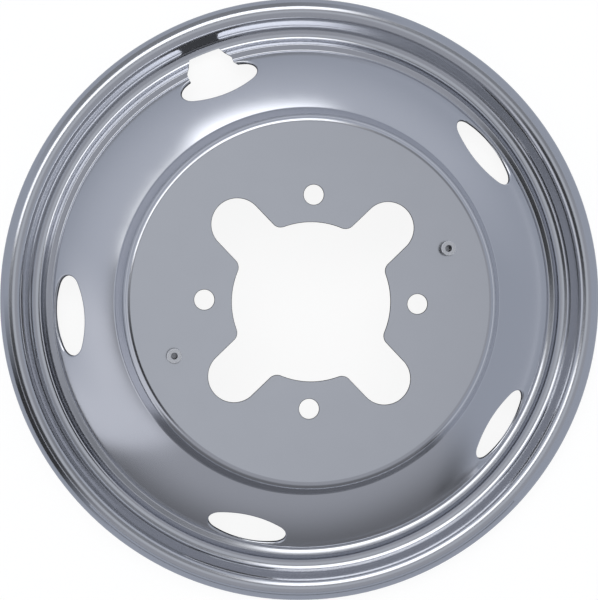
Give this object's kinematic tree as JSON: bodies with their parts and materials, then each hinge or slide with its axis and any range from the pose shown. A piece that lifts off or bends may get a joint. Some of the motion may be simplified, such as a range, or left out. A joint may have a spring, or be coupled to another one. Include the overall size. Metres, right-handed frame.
{
  "type": "wheel simulator",
  "caption": "Round mirror-polished stainless wheel cover with a stepped rim, hand holes, a valve notch, a cloverleaf hub opening and threaded standoffs for a hub cap.",
  "frame": {"origin": "centre of the wheel cover on the plane that its rolled lip rests on", "axes": "+Z along the wheel axis out of the shown face; +X and +Y through the stud holes"},
  "size_m": [0.48, 0.48, 0.0805],
  "materials": {
    "polished_stainless": "mirror polished",
    "zinc_steel": "zinc plated"
  },
  "bodies": {
    "root": {"wheel_liner": "polished_stainless", "cap_standoffs": "zinc_steel"}
  },
  "joints": []
}
